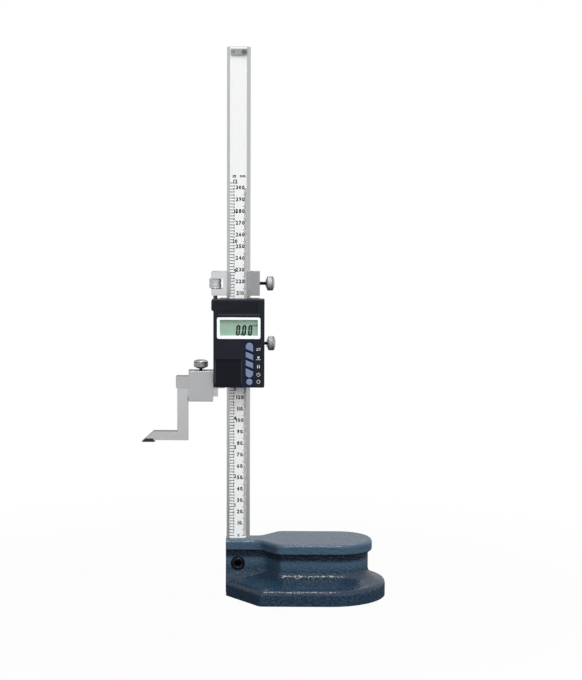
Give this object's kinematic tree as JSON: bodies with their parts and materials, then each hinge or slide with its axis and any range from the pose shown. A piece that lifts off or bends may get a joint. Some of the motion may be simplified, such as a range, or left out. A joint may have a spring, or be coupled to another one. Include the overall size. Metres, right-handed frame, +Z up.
{
  "type": "digital height gauge",
  "caption": "Height gauge: a steel beam with a printed scale on a weighted base, a slider with a digital display, a fine adjuster and a clamped scriber.",
  "frame": {"origin": "on the plane the base stands on, under the centre line of the beam and midway through its thickness", "axes": "+Z up along the beam, +X along the base away from the scriber, -Y towards the user who reads the display"},
  "size_m": [0.2108, 0.0972, 0.471],
  "materials": {
    "base_paint": "hammered enamel",
    "stainless": "fine ground satin",
    "tool_steel": "fine ground",
    "scale": "satin plate with engraved marks",
    "stator": "laminate",
    "black_oxide": "black oxide",
    "screw_steel": "plain",
    "gib_brass": "plain",
    "black_bracket": "black oxide",
    "housing_plastic": "fine texture",
    "cover_plastic": "fine texture",
    "bezel_plastic": "gloss",
    "window_clear": "clear",
    "display_glass": "liquid crystal panel",
    "button_plastic": "satin",
    "rubber_black": "soft",
    "circuit_board": "solder mask",
    "chip_resin": "epoxy",
    "spacer_plastic": "moulded",
    "battery_steel": "nickel",
    "contact_gold": "gold plated",
    "knob_chrome": "knurled and chromed",
    "carbide": "ground carbide"
  },
  "bodies": {
    "stand": {"base": "base_paint", "beam": "stainless", "beam_clamp_screw": "black_oxide", "stator_strip": "stator", "scale_plate": "scale", "end_stop": "stainless", "end_stop_screw": "screw_steel", "end_stop_pin": "black_oxide"},
    "slider": {"slider_frame": "stainless", "slider_gib": "gib_brass", "gib_screws": "black_oxide", "screw_bracket": "black_bracket", "fine_adjust_screw": "screw_steel", "housing_front": "housing_plastic", "housing_back": "housing_plastic", "housing_screws": "screw_steel", "main_board": "circuit_board", "sensor_board": "circuit_board", "sensor_spacer": "spacer_plastic", "controller_chip": "chip_resin", "display_bezel": "bezel_plastic", "display_window": "window_clear", "display_glass": "display_glass", "display_connectors": "rubber_black", "keypad_mat": "rubber_black", "battery": "battery_steel", "battery_contact": "gib_brass", "data_port": "spacer_plastic", "port_contacts": "contact_gold"},
    "slider_clamp_stem": {"slider_clamp_stem": "black_oxide"},
    "slider_clamp_knob": {"slider_clamp_knob": "knob_chrome"},
    "fine_adjust_block": {"fine_adjust_block": "stainless", "block_gib": "gib_brass"},
    "block_clamp_stem": {"block_clamp_stem": "black_oxide"},
    "block_clamp_knob": {"block_clamp_knob": "knob_chrome"},
    "fine_adjust_nut": {"fine_adjust_nut": "knob_chrome"},
    "scriber_clamp": {"scriber_clamp_box": "stainless"},
    "scriber_clamp_stem": {"scriber_clamp_stem": "black_oxide"},
    "scriber_clamp_knob": {"scriber_clamp_knob": "knob_chrome"},
    "scriber": {"scriber": "tool_steel", "scriber_tip": "carbide"},
    "battery_cover": {"battery_cover": "cover_plastic"},
    "port_cover": {"port_cover": "housing_plastic"},
    "button_units": {"button_units": "button_plastic"},
    "button_datum": {"button_datum": "button_plastic"},
    "button_hold": {"button_hold": "button_plastic"},
    "button_power": {"button_power": "button_plastic"},
    "button_zero": {"button_zero": "button_plastic"}
  },
  "joints": [
    {"name": "slider_travel", "type": "slide", "parent": "stand", "child": "slider", "axis": [0, 0, 1], "range_m": [-0.1333, 0.1778]},
    {"name": "block_travel", "type": "slide", "parent": "slider", "child": "fine_adjust_block", "axis": [0, 0, 1], "range_m": [-0.0015, 0.005]},
    {"name": "nut_turn", "type": "hinge", "parent": "fine_adjust_block", "child": "fine_adjust_nut", "pos_m": [-0.0199, 0, 0.27065], "axis": [0, 0, 1], "range_deg": [-772, 2572]},
    {"name": "slider_clamp_advance", "type": "slide", "parent": "slider", "child": "slider_clamp_stem", "axis": [1, 0, 0], "range_m": [0, 0.0015]},
    {"name": "slider_clamp_turn", "type": "hinge", "parent": "slider_clamp_stem", "child": "slider_clamp_knob", "pos_m": [0.0281, 0, 0.2191], "axis": [1, 0, 0], "range_deg": [0, 1081]},
    {"name": "block_clamp_advance", "type": "slide", "parent": "fine_adjust_block", "child": "block_clamp_stem", "axis": [1, 0, 0], "range_m": [0, 0.0015]},
    {"name": "block_clamp_turn", "type": "hinge", "parent": "block_clamp_stem", "child": "block_clamp_knob", "pos_m": [0.0271, 0, 0.27065], "axis": [1, 0, 0], "range_deg": [0, 1081]},
    {"name": "scriber_clamp_advance", "type": "slide", "parent": "scriber_clamp", "child": "scriber_clamp_stem", "axis": [0, 0, 1], "range_m": [0, 0.0015]},
    {"name": "scriber_clamp_turn", "type": "hinge", "parent": "scriber_clamp_stem", "child": "scriber_clamp_knob", "pos_m": [-0.03225, 0, 0.2012], "axis": [0, 0, 1], "range_deg": [0, 1081]},
    {"name": "scriber_clamp_slide", "type": "slide", "parent": "slider", "child": "scriber_clamp", "axis": [1, 0, 0], "range_m": [-0.0105, 0.003]},
    {"name": "scriber_slide", "type": "slide", "parent": "scriber_clamp", "child": "scriber", "axis": [1, 0, 0], "range_m": [-0.02, 0]},
    {"name": "battery_cover_slide", "type": "slide", "parent": "slider", "child": "battery_cover", "axis": [0, 0, -1], "range_m": [0, 0.024]},
    {"name": "port_cover_slide", "type": "slide", "parent": "slider", "child": "port_cover", "axis": [-1, 0, 0], "range_m": [0, 0.018]},
    {"name": "button_units_press", "type": "slide", "parent": "slider", "child": "button_units", "axis": [0, 1, 0], "range_m": [0, 0.0005], "stiffness_N_per_m": 600},
    {"name": "button_datum_press", "type": "slide", "parent": "slider", "child": "button_datum", "axis": [0, 1, 0], "range_m": [0, 0.0005], "stiffness_N_per_m": 600},
    {"name": "button_hold_press", "type": "slide", "parent": "slider", "child": "button_hold", "axis": [0, 1, 0], "range_m": [0, 0.0005], "stiffness_N_per_m": 600},
    {"name": "button_power_press", "type": "slide", "parent": "slider", "child": "button_power", "axis": [0, 1, 0], "range_m": [0, 0.0005], "stiffness_N_per_m": 600},
    {"name": "button_zero_press", "type": "slide", "parent": "slider", "child": "button_zero", "axis": [0, 1, 0], "range_m": [0, 0.0005], "stiffness_N_per_m": 600}
  ],
  "couplings": [
    {"joint": "nut_turn", "follows": "block_travel", "rad_per_m": 8976},
    {"joint": "slider_clamp_turn", "follows": "slider_clamp_advance", "rad_per_m": 12566},
    {"joint": "block_clamp_turn", "follows": "block_clamp_advance", "rad_per_m": 12566},
    {"joint": "scriber_clamp_turn", "follows": "scriber_clamp_advance", "rad_per_m": 12566}
  ]
}
